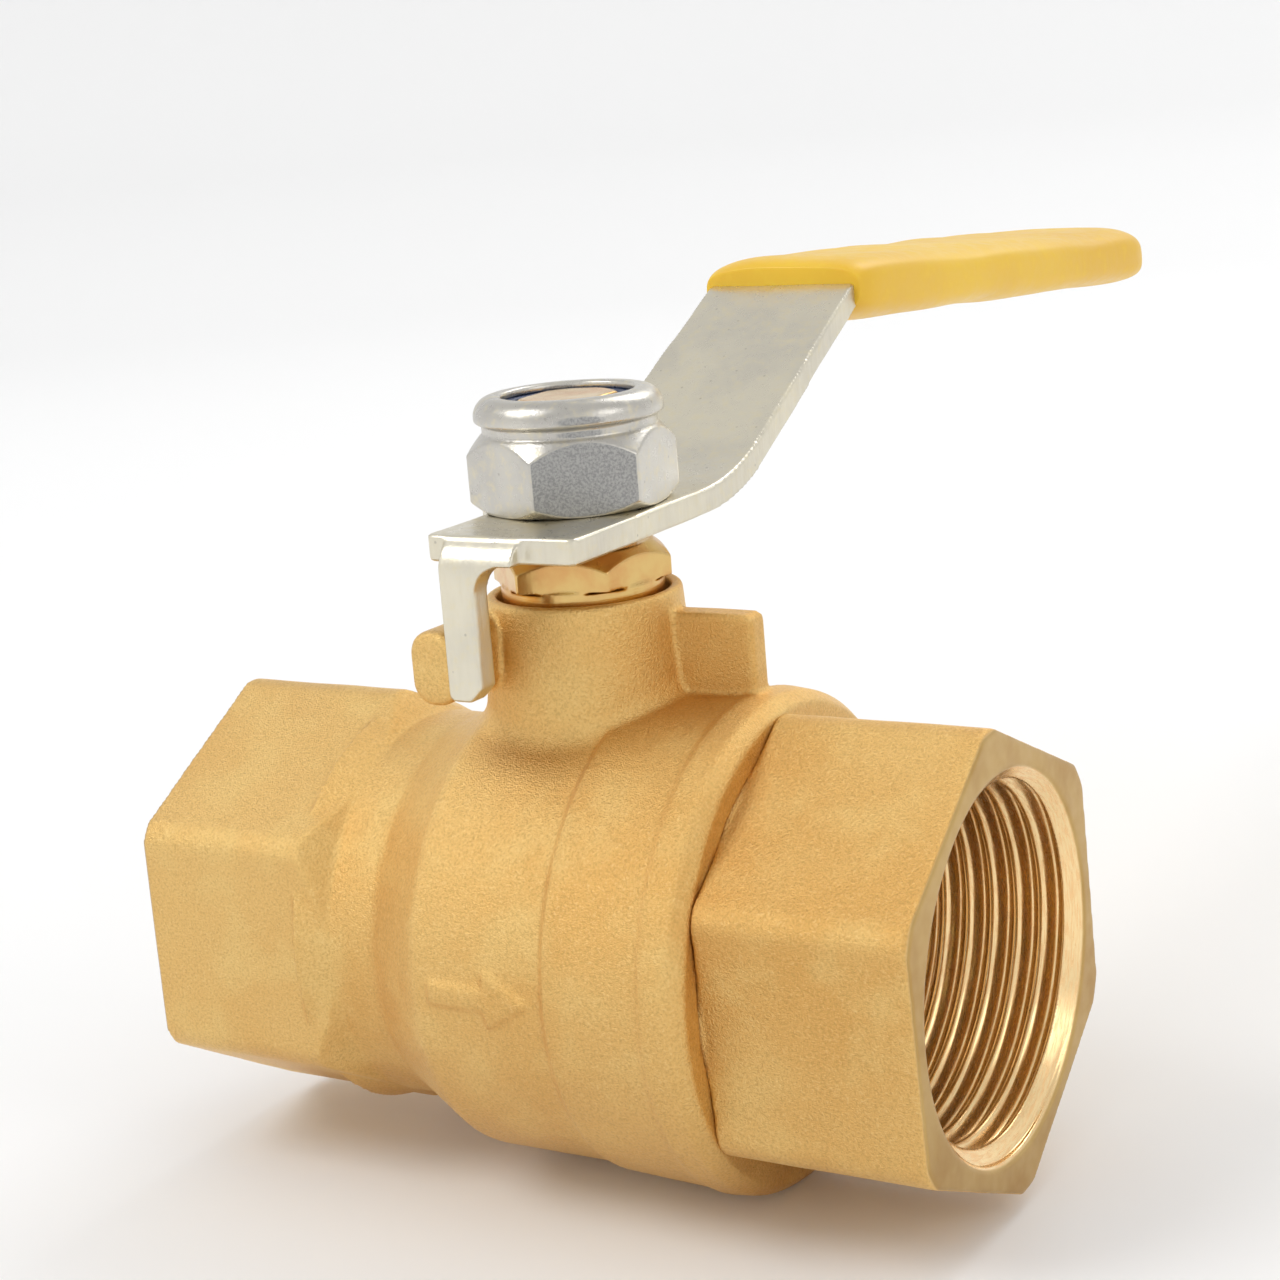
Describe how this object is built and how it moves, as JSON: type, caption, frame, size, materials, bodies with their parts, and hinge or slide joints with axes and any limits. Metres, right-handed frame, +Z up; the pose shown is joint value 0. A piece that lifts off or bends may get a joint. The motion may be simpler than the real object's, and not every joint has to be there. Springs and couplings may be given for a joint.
{
  "type": "gas ball valve",
  "caption": "Full-way brass ball valve for gas with female threaded ends and a quarter-turn lever with a yellow sleeve.",
  "frame": {"origin": "centre of the ball, where the pipe axis and the stem axis cross", "axes": "+X along the pipe towards the screwed-in end cap, +Z up the stem, +Y along the lever, which lies across the pipe because the valve is closed"},
  "size_m": [0.0774, 0.137, 0.0769],
  "materials": {
    "cast_brass": "sand-blasted satin",
    "turned_brass": "machined",
    "chromed_ball": "polished",
    "ptfe": "matt",
    "nitrile": "matt",
    "plated_steel": "nickel plated, satin",
    "yellow_sleeve": "soft satin vinyl",
    "blue_nylon": "satin"
  },
  "bodies": {
    "valve_housing": {"valve_body": "cast_brass", "end_cap": "cast_brass", "cap_o_ring": "nitrile", "seat_ring_inlet": "ptfe", "seat_ring_outlet": "ptfe", "thrust_washer": "ptfe", "packing_ring_lower": "ptfe", "packing_ring_upper": "ptfe", "gland_nut": "turned_brass"},
    "lever_and_stem": {"stem": "turned_brass", "stem_o_ring": "nitrile", "lever": "plated_steel", "lever_sleeve": "yellow_sleeve", "lock_nut": "plated_steel", "nylon_insert": "blue_nylon"},
    "ball": {"ball": "chromed_ball"}
  },
  "joints": [
    {"name": "lever_turn", "type": "hinge", "parent": "valve_housing", "child": "lever_and_stem", "pos_m": [0, 0, 0.03], "axis": [0, 0, 1], "range_deg": [0, 90]},
    {"name": "ball_turn", "type": "hinge", "parent": "valve_housing", "child": "ball", "pos_m": [0, 0, 0], "axis": [0, 0, 1], "range_deg": [0, 90]}
  ],
  "couplings": [
    {"joint": "ball_turn", "follows": "lever_turn", "ratio": 1}
  ]
}
